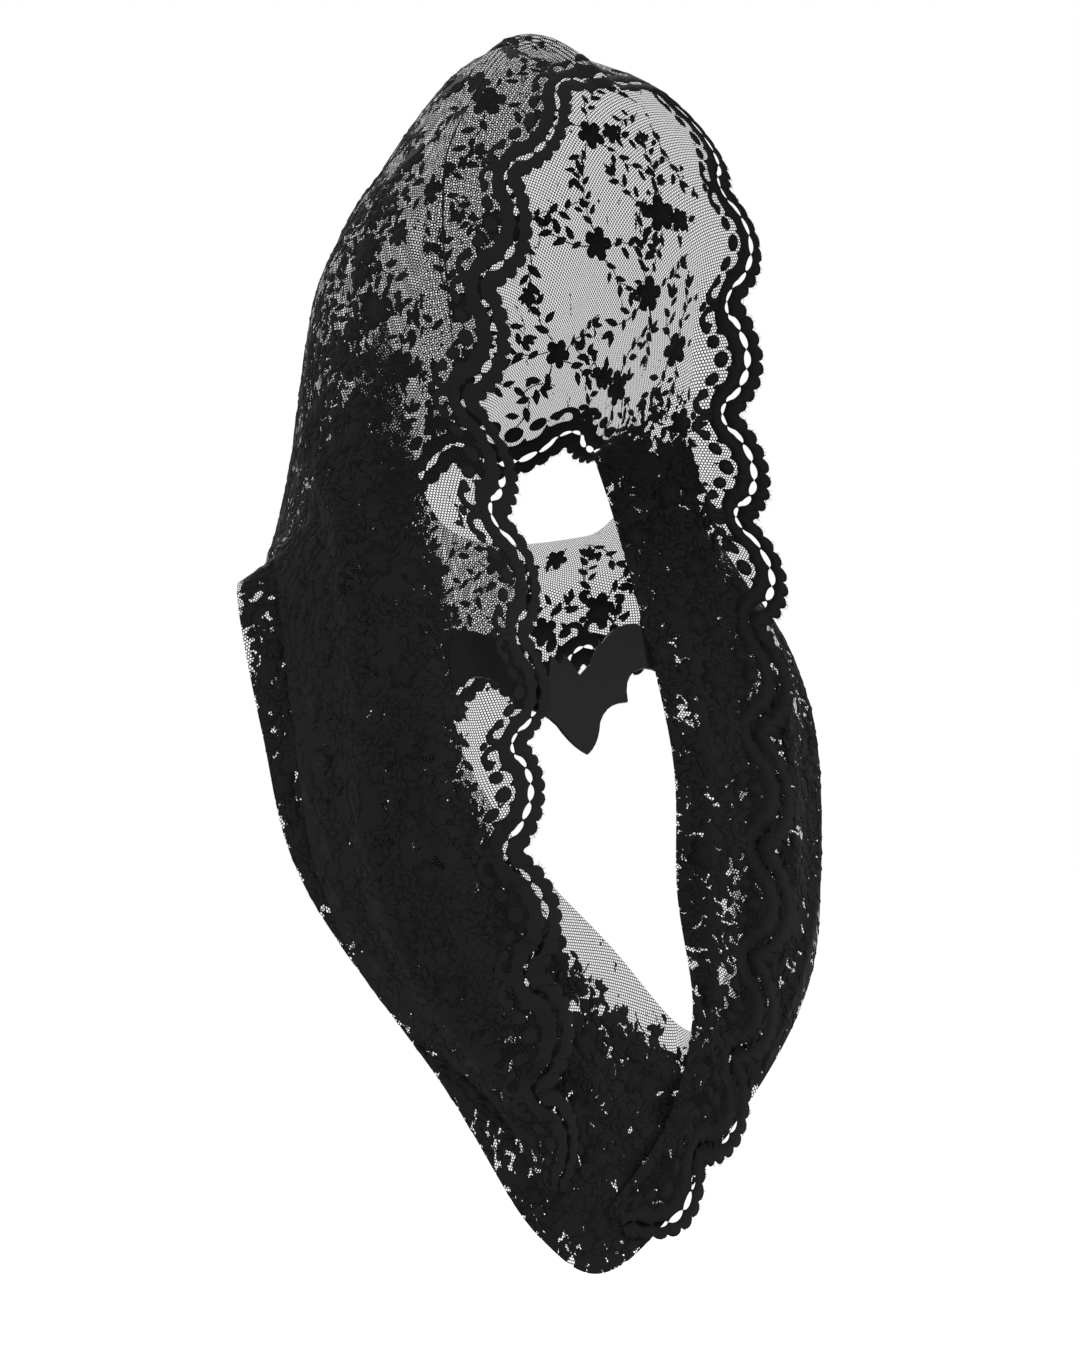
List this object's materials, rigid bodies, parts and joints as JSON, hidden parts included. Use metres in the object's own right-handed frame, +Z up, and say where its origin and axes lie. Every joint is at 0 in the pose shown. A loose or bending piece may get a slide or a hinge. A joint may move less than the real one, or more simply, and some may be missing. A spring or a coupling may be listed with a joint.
{
  "type": "lace hood veil",
  "caption": "Long scalloped lace veil worn as a hood and a deep cowl, with its front edges held by a flat bat-shaped clasp on the chest.",
  "frame": {"origin": "underside of the hood turn on the crown, where the wearer's head carries it", "axes": "+Z up, the wearer faces -Y, +X to the wearer's left"},
  "size_m": [0.4138, 0.2793, 0.7721],
  "materials": {
    "lace": "black floral lace on fine net",
    "clasp": "matte black plate"
  },
  "bodies": {
    "root": {"hood_lace": "lace", "cowl_lace": "lace", "bat_clasp": "clasp"}
  },
  "joints": []
}
